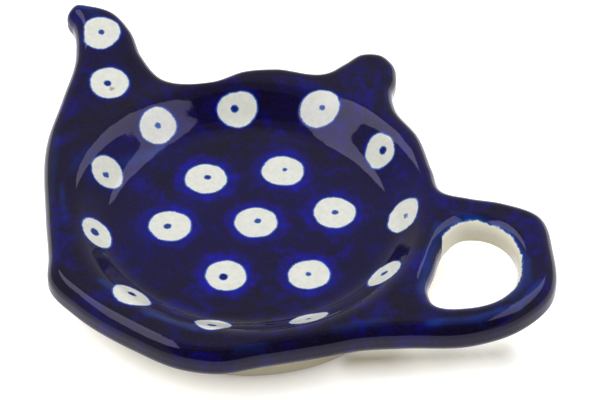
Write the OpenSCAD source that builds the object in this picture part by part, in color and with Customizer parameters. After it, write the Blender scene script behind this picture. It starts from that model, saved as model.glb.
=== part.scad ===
// Tea bag rest: a shallow round well in a raised rim that has a teapot's outline.
// Millimetres, +Z up. X runs from the spout to the handle, Y from the pot's base to its lid.
// The origin is on the table at the well's axis.

/* [Well] */
// Radius of the well at its crest
well_r = 38.6; // [37:0.2:39.2]
// Depth of the well's floor below the rim's top
well_depth = 5.3; // [4.5:0.1:6.5]
// Steepest slope of the well's wall, in degrees
wall_slope = 36; // [30:1:48]
// Radius of the fillets at the foot and at the crest of the wall
wall_fillet_r = 7; // [4:0.5:9]
// Thickness of the floor
floor_t = 4.4; // [3.5:0.1:6]

/* [Foot] */
// Height of the ring foot, up to the underside of the floor
foot_h = 6.1; // [4.5:0.1:8]
// Distance that the ring foot stands in from the well's crest
foot_inset = 4.6; // [3.2:0.1:6.6]
// Width of the ring foot
foot_w = 4.4; // [3:0.1:7]
// Rounding of the foot's two lower edges
foot_edge_r = 1.2; // [0.5:0.1:1.4]
// Fillet between the foot's outer wall and the rim's underside
foot_fillet_r = 1.5; // [0.5:0.1:2.5]

/* [Rim] */
// Thickness of the rim, the spout, the knob and the handle
rim_t = 6.8; // [6:0.1:8]
// Radius of the rolled upper edge
top_roll_r = 3; // [2:0.1:3.4]
// Radius of the rolled lower edge
bottom_roll_r = 2.5; // [1.5:0.1:2.9]
// Width of the rim between the well's crest and the pot's outline
rim_w = 3.4; // [2.7:0.1:5]

/* [Spout] */
// Distance of the tip's centre beyond the belly's side, along X
spout_length = 16.7; // [13:0.1:22]
// Distance of the tip's centre below the belly's top, along Y
spout_drop = 14.4; // [12:0.1:17]
// Width of the hooked tip
spout_tip_w = 8.6; // [7:0.1:10]
// Angle at which the spout rises from the rim, in degrees
spout_lift = 7; // [0:0.5:12]

/* [Lid knob] */
// Width of the knob
knob_w = 11.4; // [9.5:0.1:14]
// Height of the knob above the lid's shoulders
knob_h = 11; // [8:0.1:14]
// Distance of the knob's centre line from the well's axis, towards the spout
knob_offset = 2.3; // [0:0.1:4]

/* [Handle] */
// Width of the finger hole
hole_w = 18.8; // [16:0.1:21]
// Length of the finger hole
hole_l = 23; // [20:0.1:26]
// Distance of the hole's centre beyond the belly's side, along X
hole_gap = 5.2; // [4.6:0.1:10]
// Distance of the hole's centre from the well's axis, along Y
hole_y = 9.8; // [8:0.1:12]
// Width of the bar round the hole
bar_w = 7.8; // [6.8:0.1:9.5]

/* [Hidden] */
$fn = 144;
cobalt = "#1b1a5e";
cream = "#e6e1cd";
span_steps = 4;
roll_steps = 4;
arc_steps = 10;
// Largest inset of a rolled edge, as a share of the bend's radius
roll_room_share = 0.5;
// Slope left where the well's crest meets the rim's top, in degrees
crest_slope = 6;
// Half the width of that straight lip, as a share of the fillets' radius
crest_lip_share = 0.125;

// Radii and places that follow the well
foot_r = well_r - foot_inset;
belly_r = well_r + rim_w;
spout_reach = belly_r + spout_length;
spout_rise = belly_r - spout_drop;
hole_x = belly_r + hole_gap;

// Heights, stacked from the table up
floor_z = foot_h + floor_t;
rim_z = floor_z + well_depth;
rim_under_z = rim_z - rim_t;
overrun = rim_t / 4;

// Points of the pot's outline round the well: direction in degrees, share of the belly's radius
base_shares = [[-90, 1.03], [-75, 1.05], [-65, 1.035], [-53, 0.975], [-36, 0.975], [-25, 1.01]];
right_shoulder_shares = [[41, 0.96], [51, 0.93], [65, 0.965], [78, 1.005]];
left_shoulder_shares = [[116, 1.01], [125, 0.99], [135, 0.935], [148, 1]];
left_flank_shares = [[186, 1.115], [213, 0.99], [230, 1.01], [239, 1.06], [250, 1.055]];

// Points of the spout's two flanks, as shares of its reach and rise
spout_upper_shares = [[-0.76, 0.93], [-0.857, 1.08]];
spout_lower_shares = [[-0.95, 0.667], [-0.867, 0.225]];
// Points round the spout's tip: direction in degrees, share of half its width
spout_tip_shares = [[57, 1.1], [114, 0.84], [160, 1.02], [196, 1.04], [241, 0.92]];

// Points of the knob, as shares of its width and its height
knob_shares = [[0.62, 0.2], [0.47, 0.6], [0.32, 0.87], [0, 1], [-0.35, 0.83], [-0.5, 0.41], [-0.64, 0.06]];
// Height of the lid's shoulders, as a share of the belly's radius
knob_base_share = 1.02;

// Points of the finger hole, as shares of half its width and half its length
hole_shares = [
    [1, 0], [0.82, 0.46], [0.48, 0.8], [0.1, 0.97], [-0.42, 0.97], [-0.84, 0.8],
    [-0.98, 0.36], [-0.76, -0.3], [-0.46, -0.82], [-0.08, -1], [0.5, -0.78], [0.86, -0.44]
];
// Points of the handle's outer edge, as shares of the same half sizes with the bar's width added
handle_shares = [
    [-0.12, -1.18], [0.52, -0.76], [0.87, -0.3], [0.94, 0.15],
    [0.59, 0.73], [0.22, 1.06], [-0.3, 1.05], [-0.68, 0.93]
];

function polar_points(radius, shares) =
    [for (s = shares) radius * s[1] * [cos(s[0]), sin(s[0])]];
function share_points(centre, size_x, size_y, shares) =
    [for (s = shares) centre + [size_x * s[0], size_y * s[1]]];

tip_centre = [-spout_reach, spout_rise];
hole_centre = [hole_x, hole_y];
outline_marks = concat(
    polar_points(belly_r, base_shares),
    share_points(hole_centre, hole_w / 2 + bar_w, hole_l / 2 + bar_w, handle_shares),
    polar_points(belly_r, right_shoulder_shares),
    share_points([-knob_offset, knob_base_share * belly_r], knob_w, knob_h, knob_shares),
    polar_points(belly_r, left_shoulder_shares),
    share_points([0, 0], spout_reach, spout_rise, spout_upper_shares),
    [for (p = polar_points(spout_tip_w / 2, spout_tip_shares)) tip_centre + p],
    share_points([0, 0], spout_reach, spout_rise, spout_lower_shares),
    polar_points(belly_r, left_flank_shares)
);
hole_marks = share_points(hole_centre, hole_w / 2, hole_l / 2, hole_shares);

// First and last mark of each limb that springs from the rim
handle_root = [len(base_shares), len(base_shares) + len(handle_shares)];
knob_first = handle_root[1] + len(right_shoulder_shares);
knob_root = [knob_first, knob_first + len(knob_shares) - 1];
spout_first = knob_root[1] + len(left_shoulder_shares);
spout_marks = len(spout_upper_shares) + len(spout_tip_shares) + len(spout_lower_shares);
spout_root = [spout_first, spout_first + spout_marks + 1];
roots = [handle_root, knob_root, spout_root];

// Item i of a closed list
function item(list, i) = list[(i + len(list)) % len(list)];

// Tangent at mark i of a closed curve, weighted by the lengths of its two chords
function tangent(marks, i) =
    let (
        behind = item(marks, i) - item(marks, i - 1),
        ahead = item(marks, i + 1) - item(marks, i),
        length_behind = norm(behind),
        length_ahead = norm(ahead)
    )
    (ahead / length_ahead * length_behind + behind / length_behind * length_ahead)
        / (length_behind + length_ahead);

// Closed smooth curve through the marks: one cubic for each span
function smooth_curve(marks) = [
    for (i = [0 : len(marks) - 1])
        let (
            start = marks[i],
            end = item(marks, i + 1),
            chord = norm(end - start),
            leave = chord * tangent(marks, i),
            arrive = chord * tangent(marks, i + 1)
        )
        for (k = [0 : span_steps - 1])
            let (u = k / span_steps, v = 1 - u)
            start * (v * v * (1 + 2 * u)) + leave * (v * v * u)
                + end * (u * u * (1 + 2 * v)) - arrive * (u * u * v)
];

// Unit vector that points out of a closed curve drawn anticlockwise
function outward(curve, i) =
    let (along = item(curve, i + 1) - item(curve, i - 1))
    [along[1], -along[0]] / norm(along);

// Radius of the bend at point i, or the belly's where the curve is straight or hollow
function bend_radius(curve, i) =
    let (
        a = item(curve, i - span_steps),
        b = item(curve, i),
        c = item(curve, i + span_steps),
        turn = cross(b - a, c - b)
    )
    turn <= 0 ? belly_r : norm(b - a) * norm(c - b) * norm(c - a) / (2 * turn);

// Direction in which a rolled edge draws in at each point. A tight bend draws in less, and its
// neighbours ease towards it, so that the rings stay clear of the bend's centre.
function inset_vectors(curve) =
    let (
        count = len(curve),
        room = [
            for (i = [0 : count - 1])
                min(1, roll_room_share * bend_radius(curve, i) / top_roll_r)
        ]
    )
    [
        for (i = [0 : count - 1])
            let (near = [for (k = [-span_steps : span_steps]) item(room, i + k)])
            -outward(curve, i) * (near * [for (n = near) 1 / len(near)])
    ];

// Rolled edge seen in section, from the underside up: inset from the outline and height
edge_section = concat(
    [for (k = [0 : roll_steps])
        let (a = 90 * k / roll_steps)
        [bottom_roll_r * (1 - sin(a)), rim_under_z + bottom_roll_r * (1 - cos(a))]],
    [for (k = [0 : roll_steps])
        let (a = 90 * k / roll_steps)
        [top_roll_r * (1 - cos(a)), rim_z - top_roll_r * (1 - sin(a))]]
);
// The same section for the finger hole, run past both faces of the slab
hole_section = concat(
    [[bottom_roll_r, rim_under_z - overrun]],
    edge_section,
    [[top_roll_r, rim_z + overrun]]
);

outline = smooth_curve(outline_marks);
plain_insets = inset_vectors(outline);
hole_outline = smooth_curve(hole_marks);
hole_flares = [for (i = [0 : len(hole_outline) - 1]) outward(hole_outline, i)];

// Unit vector along the straight line on which a limb springs from the rim
function root_line(root) =
    let (across = outline_marks[root[1]] - outline_marks[root[0]])
    across / norm(across);

// Directions in which the edge draws in at a limb's two ends: along the root line, so that the limb
// and the rim meet in one plane
end_insets = [
    for (root = roots)
        for (end = root)
            let (line = root_line(root), i = end * span_steps)
            [i, line / (line * plain_insets[i])]
];

// The rolled edge draws in square to the outline, and turns to those directions near a limb's ends
outline_insets = [
    for (i = [0 : len(outline) - 1])
        let (
            near = [for (e = end_insets) if (abs(i - e[0]) < span_steps) e],
            pull = len(near) == 0 ? 0 : 1 - abs(i - near[0][0]) / span_steps
        )
        pull == 0 ? plain_insets[i] : (1 - pull) * plain_insets[i] + pull * near[0][1]
];

// Places on the outline from one mark to another, past its end if need be
function stretch(first, last) =
    [for (i = [first * span_steps : last * span_steps]) i % len(outline)];

// Triangles that close a ring of so many points: a ladder between its two halves
function ladder(count) = concat(
    [for (i = [0 : (count - 3) / 2]) [i, i + 1, count - 1 - i]],
    [for (i = [0 : (count - 4) / 2]) [i + 1, count - 2 - i, count - 1 - i]]
);
// The same as a fan round a hub, which follows the ring's points
function fan(count) = [for (i = [0 : count - 1]) [i, (i + 1) % count, count]];

// Closed loft of one ring for each point of the section. Each ring leaves the curve along the given
// directions by the section's inset. The two end rings close by a fan round the hub, if there is
// one. The loft rises away from a root line by the lift angle.
module lofted_rings(curve, directions, section, hub = [], root = handle_root, lift = 0) {
    count = len(curve);
    ring = count + len(hub);
    last = (len(section) - 1) * ring;
    cap = len(hub) == 0 ? ladder(count) : fan(count);
    line = root_line(root);
    away = [line[1], -line[0]];
    points = [
        for (s = section)
            for (i = [0 : ring - 1])
                let (p = i < count ? curve[i] + s[0] * directions[i] : hub[i - count])
                [p[0], p[1], s[1] + tan(lift) * (p - outline_marks[root[0]]) * away]
    ];
    faces = concat(
        cap,
        [for (r = [0 : ring : last - ring])
            for (i = [0 : count - 1])
                let (a = r + i, b = r + (i + 1) % count)
                for (f = [[a, a + ring, b], [b, a + ring, b + ring]]) f],
        [for (f = cap) [f[2] + last, f[1] + last, f[0] + last]]
    );
    polyhedron(points, faces);
}

// Slab with rolled edges over the listed places of the outline
module slab(places, hub = [], root = handle_root, lift = 0) {
    lofted_rings(
        [for (i = places) outline[i]],
        [for (i = places) outline_insets[i]],
        edge_section, hub, root, lift
    );
}

// Limb that springs from the rim at its root
module limb(root, lift = 0) {
    slab(stretch(root[0], root[1]), root = root, lift = lift);
}

// Arc in a section, from one direction to another
function arc_points(centre, radius, from, to) = [
    for (k = [0 : arc_steps])
        let (a = from + (to - from) * k / arc_steps)
        centre + radius * [cos(a), sin(a)]
];

// Section of the well's surface: flat floor, hollow fillet, straight slope, rounded crest, and a
// straight lip that runs out through the rim's top
lip_run = wall_fillet_r * crest_lip_share;
lip_drop = lip_run * tan(crest_slope);
fillet_run = wall_fillet_r * sin(wall_slope);
fillet_drop = wall_fillet_r * (1 - cos(wall_slope));
crest_run = wall_fillet_r * (sin(wall_slope) - sin(crest_slope));
crest_drop = wall_fillet_r * (cos(crest_slope) - cos(wall_slope));
slope_run = (well_depth - fillet_drop - crest_drop - lip_drop) / tan(wall_slope);
floor_r = well_r - lip_run - crest_run - slope_run - fillet_run;
crest_centre = [
    well_r - lip_run + wall_fillet_r * sin(crest_slope),
    rim_z - lip_drop - wall_fillet_r * cos(crest_slope)
];
well_section = concat(
    [[0, floor_z]],
    arc_points([floor_r, floor_z + wall_fillet_r], wall_fillet_r, -90, wall_slope - 90),
    arc_points(crest_centre, wall_fillet_r, wall_slope + 90, crest_slope + 90),
    [[well_r + lip_run, rim_z + lip_drop]]
);

// Space above the well's surface
module well_space() {
    rotate_extrude()
        polygon(concat(well_section, [[well_r + lip_run, rim_z + rim_t], [0, rim_z + rim_t]]));
}

module bowl_blank() {
    translate([0, 0, foot_h])
        cylinder(r = foot_r, h = rim_z + overrun - foot_h);
}

// Round dish: the floor, and the wall out to the foot's radius
module bowl() {
    color(cobalt)
        difference() {
            bowl_blank();
            well_space();
        }
}

// Raised band with the pot's outline, hollowed by the well's crest
module rim() {
    color(cobalt) {
        difference() {
            slab(
                concat(
                    stretch(spout_root[1], len(outline_marks) + handle_root[0]),
                    stretch(handle_root[1], knob_root[0]),
                    stretch(knob_root[1], spout_root[0])
                ),
                hub = [[0, 0]]
            );
            bowl_blank();
            well_space();
        }
        underside_fillet();
    }
}

// Hollow fillet from the foot's outer wall to the rim's underside
module underside_fillet() {
    rotate_extrude()
        polygon(concat(
            [[foot_r, rim_under_z]],
            arc_points([foot_r + foot_fillet_r, rim_under_z - foot_fillet_r], foot_fillet_r, 180, 90)
        ));
}

// Spout, lifted a little towards its hooked tip
module spout() {
    color(cobalt)
        limb(spout_root, spout_lift);
}

module knob() {
    color(cobalt)
        limb(knob_root);
}

// Loop handle, pierced by a finger hole with rolled lips
module handle() {
    color(cobalt)
        difference() {
            limb(handle_root);
            lofted_rings(hole_outline, hole_flares, hole_section);
            well_space();
        }
}

// Ring foot with rounded lower edges
module foot_ring() {
    foot_inner_r = foot_r - foot_w;
    color(cream)
        rotate_extrude()
            polygon(concat(
                [[foot_inner_r, foot_h]],
                arc_points([foot_inner_r + foot_edge_r, foot_edge_r], foot_edge_r, 180, 270),
                arc_points([foot_r - foot_edge_r, foot_edge_r], foot_edge_r, -90, 0),
                [[foot_r, foot_h]]
            ));
}

bowl();
rim();
spout();
knob();
handle();
foot_ring();
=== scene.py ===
"""Glazed tea bag rest with a teapot's outline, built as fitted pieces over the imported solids.

Every surface of the rest is a height over the table plane: the well's profile gives it in the
middle, and the distance to the pot's outline and to the finger hole gives the rolled edges. The
pieces are cut from that one surface, so the glaze runs over their joints without a seam.
"""

import logging
import math
from dataclasses import dataclass, field
from enum import Enum

import bpy
import numpy as np
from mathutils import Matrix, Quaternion, Vector


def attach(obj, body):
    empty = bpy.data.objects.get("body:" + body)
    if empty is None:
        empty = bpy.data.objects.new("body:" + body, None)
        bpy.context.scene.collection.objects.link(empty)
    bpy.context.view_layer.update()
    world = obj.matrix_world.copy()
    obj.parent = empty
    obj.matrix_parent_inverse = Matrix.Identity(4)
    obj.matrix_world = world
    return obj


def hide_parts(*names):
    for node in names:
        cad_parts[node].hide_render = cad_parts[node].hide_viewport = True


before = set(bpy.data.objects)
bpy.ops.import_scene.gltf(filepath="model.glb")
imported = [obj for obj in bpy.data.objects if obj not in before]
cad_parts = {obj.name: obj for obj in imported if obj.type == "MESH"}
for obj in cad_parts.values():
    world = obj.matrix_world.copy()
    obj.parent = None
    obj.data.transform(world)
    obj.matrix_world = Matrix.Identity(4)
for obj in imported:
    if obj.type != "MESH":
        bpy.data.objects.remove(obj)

logging.basicConfig(level=logging.INFO, format="%(name)s: %(message)s")
log = logging.getLogger("tea_bag_rest")

Socket = bpy.types.NodeSocket
Value = Socket | float | tuple
Colour = tuple[float, float, float]
Pair = tuple[float, float]
Root = tuple[int, int]

MM = 0.001
SEED = 11

# Least length, squared length and area that anything is divided by.
NO_LENGTH, NO_SQUARE, NO_AREA = 1e-15, 1e-18, 1e-12
# Number of points whose distances to a curve are worked out together.
BLOCK = 4000
# Points of one piece, and corners of two pieces, that are nearer than this are one place.
WELD, SAME_PLACE = 0.0005 * MM, 0.002 * MM
# Distance to the paint's border that stands for paint all round, and for none at all.
PAINT_ALL, BARE = 9 * MM, -9.0
# Height below which the foot's skin is its standing face.
STANDING = 0.01 * MM


class Facing(Enum):
    """The side that a patch of surface shows."""

    UP = "up"
    DOWN = "down"
    OUT = "away from the centre"
    IN = "towards the centre"

    @classmethod
    def of(cls, upper: bool) -> "Facing":
        """The side that the upper or the lower surface shows."""
        return cls.UP if upper else cls.DOWN


class Coat(Enum):
    """Which of the rest's two finishes a piece carries."""

    PAINTED = "cobalt_glaze"
    CLEAR = "clear_glaze"


def unit(vectors: np.ndarray) -> np.ndarray:
    """Each vector divided by its own length."""
    lengths = np.linalg.norm(vectors, axis=-1, keepdims=True)
    return vectors / np.maximum(lengths, NO_LENGTH)


def even_shares(steps: int) -> np.ndarray:
    """Shares from 0 to 1 in equal steps."""
    return np.arange(steps + 1) / steps


def quarter_turns(steps: int) -> np.ndarray:
    """Angles from 0 to a right angle in equal steps."""
    return np.radians(90) * np.arange(steps + 1) / steps


def between(first: np.ndarray, second: np.ndarray, share: np.ndarray) -> np.ndarray:
    """Points at shares of the way from the first to the second."""
    return first * (1 - share) + second * share


def line_gap(points: np.ndarray, start: np.ndarray, line: np.ndarray) -> np.ndarray:
    """Distance in plan from each point to a straight line with the given start and run."""
    along = np.clip((points - start) @ line / (line @ line), 0, 1)
    return np.linalg.norm(points - start - along[:, None] * line, axis=1)


def polar_points(radius: float, shares: tuple) -> np.ndarray:
    """Points at direction s[0] degrees and distance s[1] times the radius."""
    s = np.array(shares, float)
    a = np.radians(s[:, 0])
    return radius * s[:, 1:2] * np.stack([np.cos(a), np.sin(a)], axis=1)


def share_points(centre: Pair, size: Pair, shares: tuple) -> np.ndarray:
    """Points at the centre plus the size times each pair of shares."""
    return np.array(centre, float) + np.array(size, float) * np.array(shares, float)


def smooth_curve(marks: np.ndarray, steps: int) -> np.ndarray:
    """Closed curve of one cubic for each span between marks.

    The tangent at a mark is the mean of its two chords' directions, each weighted by the other
    chord's length, and a span's end slopes are those tangents times its own chord.

    Args:
        marks: Points in order, anticlockwise, as an array of shape (marks, 2).
        steps: Points made for each span.

    Returns:
        Points of the curve, shape (marks * steps, 2).
    """
    chord = np.roll(marks, -1, axis=0) - marks
    length = np.linalg.norm(chord, axis=1, keepdims=True)
    behind, length_behind = np.roll(chord, 1, axis=0), np.roll(length, 1, axis=0)
    tangent = (chord / length * length_behind + behind / length_behind * length) / (
        length + length_behind
    )
    start, end = marks[:, None], np.roll(marks, -1, axis=0)[:, None]
    leave = (length * tangent)[:, None]
    arrive = (length * np.roll(tangent, -1, axis=0))[:, None]
    u = (np.arange(steps) / steps)[None, :, None]
    v = 1 - u
    curve = start * v * v * (1 + 2 * u) + leave * v * v * u
    curve = curve + end * u * u * (1 + 2 * v) - arrive * u * u * v
    return curve.reshape(-1, 2)


def outward_normals(curve: np.ndarray) -> np.ndarray:
    """Unit vectors that point out of a closed curve drawn anticlockwise."""
    along = np.roll(curve, -1, axis=0) - np.roll(curve, 1, axis=0)
    return unit(np.stack([along[:, 1], -along[:, 0]], axis=1))


def distance_to(curve: np.ndarray, points: np.ndarray) -> np.ndarray:
    """Distance from each point to the nearest segment of a closed curve.

    Args:
        curve: Corners of the curve, shape (n, 2).
        points: Points, shape (m, 2).

    Returns:
        Distances, shape (m,).
    """
    a, ab = curve, np.roll(curve, -1, axis=0) - curve
    inverse = 1 / np.maximum((ab**2).sum(axis=1), NO_SQUARE)
    found = []
    for block in np.array_split(points, max(1, len(points) // BLOCK)):
        ap = block[:, None] - a[None]
        t = np.clip((ap * ab[None]).sum(axis=2) * inverse, 0, 1)
        gap = ap - t[..., None] * ab[None]
        found.append(np.sqrt((gap**2).sum(axis=2)).min(axis=1))
    return np.concatenate(found)


def roll_drop(distance: np.ndarray, radius: float) -> np.ndarray:
    """Fall of a quarter-round edge: radius less the height of its circle at that distance."""
    inner = np.clip(radius - distance, 0, radius)
    return radius - np.sqrt(np.maximum(radius**2 - inner**2, 0))


@dataclass(frozen=True)
class PotShape:
    """Sizes of the rest, in metres, and the marks that its outline and its hole run through.

    Marks are pairs of shares: of the size of the form they belong to, or, round the well and the
    spout's tip, a direction in degrees and a share of the radius. The ripple's rows are a wave's
    radians to a millimetre along x and y, its start in radians and its share.
    """

    well_r: float = 38.6 * MM
    well_depth: float = 5.3 * MM
    wall_slope: float = math.radians(36)
    wall_fillet_r: float = 7 * MM
    floor_t: float = 4.4 * MM
    foot_h: float = 6.1 * MM
    foot_inset: float = 4.6 * MM
    foot_fillet_r: float = 1.5 * MM
    rim_t: float = 6.8 * MM
    top_roll_r: float = 3 * MM
    bottom_roll_r: float = 2.5 * MM
    rim_w: float = 3.4 * MM
    spout_length: float = 16.7 * MM
    spout_drop: float = 14.4 * MM
    spout_tip_w: float = 8.6 * MM
    spout_lift: float = math.radians(7)
    spout_ease: float = 3 * MM
    lift_from_share: float = 0.8
    lift_over_share: float = 0.1
    knob_w: float = 11.4 * MM
    knob_h: float = 11 * MM
    knob_offset: float = 2.3 * MM
    hole_w: float = 18.8 * MM
    hole_l: float = 23 * MM
    hole_gap: float = 5.2 * MM
    hole_y: float = 9.8 * MM
    bar_w: float = 7.8 * MM
    span_steps: int = 12
    roll_room_share: float = 0.5
    knob_base_share: float = 1.02
    blend_power: float = 2.4
    ripple_height: float = 0.035 * MM
    ripple_waves: tuple = (
        (0.21, 0.11, 0.6, 1.0), (-0.13, 0.17, 2.1, 1.0), (0.29, -0.19, 4.0, 0.7),
    )
    base_shares: tuple = (
        (-90.0, 1.035), (-75.0, 1.053), (-65.0, 1.040), (-52.9, 0.986), (-36.0, 0.987),
        (-25.4, 1.028),
    )
    handle_shares: tuple = (
        (-0.096, -1.210), (0.560, -0.793), (0.912, -0.313), (0.988, 0.156), (0.609, 0.743),
        (0.225, 1.070), (-0.296, 1.033), (-0.672, 0.908),
    )
    right_shoulder_shares: tuple = (
        (40.6, 0.952), (51.0, 0.939), (64.9, 0.980), (77.7, 1.017),
    )
    knob_shares: tuple = (
        (0.698, 0.252), (0.547, 0.638), (0.353, 0.909), (0.000, 1.037), (-0.354, 0.834),
        (-0.491, 0.407), (-0.614, 0.040),
    )
    left_shoulder_shares: tuple = (
        (116.1, 1.023), (125.1, 1.000), (135.0, 0.945), (147.0, 1.015),
    )
    spout_upper_shares: tuple = ((-0.754, 0.953), (-0.850, 1.110))
    spout_tip_shares: tuple = (
        (62.7, 1.323), (113.8, 0.985), (159.1, 1.200), (196.4, 1.095), (242.6, 0.840),
    )
    spout_lower_shares: tuple = ((-0.949, 0.668), (-0.867, 0.225))
    left_flank_shares: tuple = (
        (186.1, 1.122), (213.0, 0.995), (229.9, 1.017), (238.9, 1.074), (250.0, 1.057),
    )
    hole_shares: tuple = (
        (0.999, 0.000), (0.804, 0.453), (0.464, 0.783), (0.096, 0.958), (-0.426, 0.992),
        (-0.836, 0.797), (-0.938, 0.360), (-0.735, -0.293), (-0.485, -0.839), (-0.094, -1.086),
        (0.542, -0.823), (0.895, -0.456),
    )

    @property
    def belly_r(self) -> float:
        """Radius that the outline follows round the well."""
        return self.well_r + self.rim_w

    @property
    def foot_r(self) -> float:
        """Outer radius of the foot and of the bowl above it."""
        return self.well_r - self.foot_inset

    @property
    def rim_z(self) -> float:
        """Height of the rim's top."""
        return self.foot_h + self.floor_t + self.well_depth

    @property
    def under_z(self) -> float:
        """Height of the rim's underside."""
        return self.rim_z - self.rim_t

    @property
    def hole_centre(self) -> Pair:
        """Centre of the finger hole."""
        return (self.belly_r + self.hole_gap, self.hole_y)

    @property
    def handle_root(self) -> Root:
        """First and last mark of the handle."""
        first = len(self.base_shares)
        return (first, first + len(self.handle_shares))

    @property
    def knob_root(self) -> Root:
        """First and last mark of the knob."""
        first = self.handle_root[1] + len(self.right_shoulder_shares)
        return (first, first + len(self.knob_shares) - 1)

    @property
    def spout_root(self) -> Root:
        """First and last mark of the spout."""
        first = self.knob_root[1] + len(self.left_shoulder_shares)
        flanks = self.spout_upper_shares + self.spout_tip_shares + self.spout_lower_shares
        return (first, first + len(flanks) + 1)

    def outline_marks(self) -> np.ndarray:
        """Marks of the pot's outline, anticlockwise from the base."""
        reach, rise = self.belly_r + self.spout_length, self.belly_r - self.spout_drop
        knob_centre = (-self.knob_offset, self.knob_base_share * self.belly_r)
        handle_half = (self.hole_w / 2 + self.bar_w, self.hole_l / 2 + self.bar_w)
        tip = polar_points(self.spout_tip_w / 2, self.spout_tip_shares) + (-reach, rise)
        return np.concatenate([
            polar_points(self.belly_r, self.base_shares),
            share_points(self.hole_centre, handle_half, self.handle_shares),
            polar_points(self.belly_r, self.right_shoulder_shares),
            share_points(knob_centre, (self.knob_w, self.knob_h), self.knob_shares),
            polar_points(self.belly_r, self.left_shoulder_shares),
            share_points((0, 0), (reach, rise), self.spout_upper_shares),
            tip,
            share_points((0, 0), (reach, rise), self.spout_lower_shares),
            polar_points(self.belly_r, self.left_flank_shares),
        ])

    def hole_marks(self) -> np.ndarray:
        """Marks of the finger hole, anticlockwise."""
        return share_points(self.hole_centre, (self.hole_w / 2, self.hole_l / 2), self.hole_shares)

    def roll_r(self, upper: bool) -> float:
        """Radius of the rolled edges of the upper or the lower surface."""
        return self.top_roll_r if upper else self.bottom_roll_r

    def well_drop(self, radius: np.ndarray) -> np.ndarray:
        """Depth of the well's surface below the rim's top.

        Flat floor, then an arc up into a straight slope, then an arc over to the level crest.

        Args:
            radius: Distances from the well's axis.

        Returns:
            Depths, of the same shape.
        """
        run = self.wall_fillet_r * math.sin(self.wall_slope)
        fall = self.wall_fillet_r * (1 - math.cos(self.wall_slope))
        slope_run = (self.well_depth - 2 * fall) / math.tan(self.wall_slope)
        floor_r = self.well_r - 2 * run - slope_run
        from_floor = np.clip(radius - floor_r, 0, run)
        from_crest = np.clip(self.well_r - radius, 0, run)
        foot_rise = self.wall_fillet_r - np.sqrt(self.wall_fillet_r**2 - from_floor**2)
        crest_fall = self.wall_fillet_r - np.sqrt(self.wall_fillet_r**2 - from_crest**2)
        middle = np.clip(radius - floor_r - run, 0, slope_run) * math.tan(self.wall_slope)
        return np.maximum(self.well_depth - foot_rise - middle - (fall - crest_fall), 0)


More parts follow.
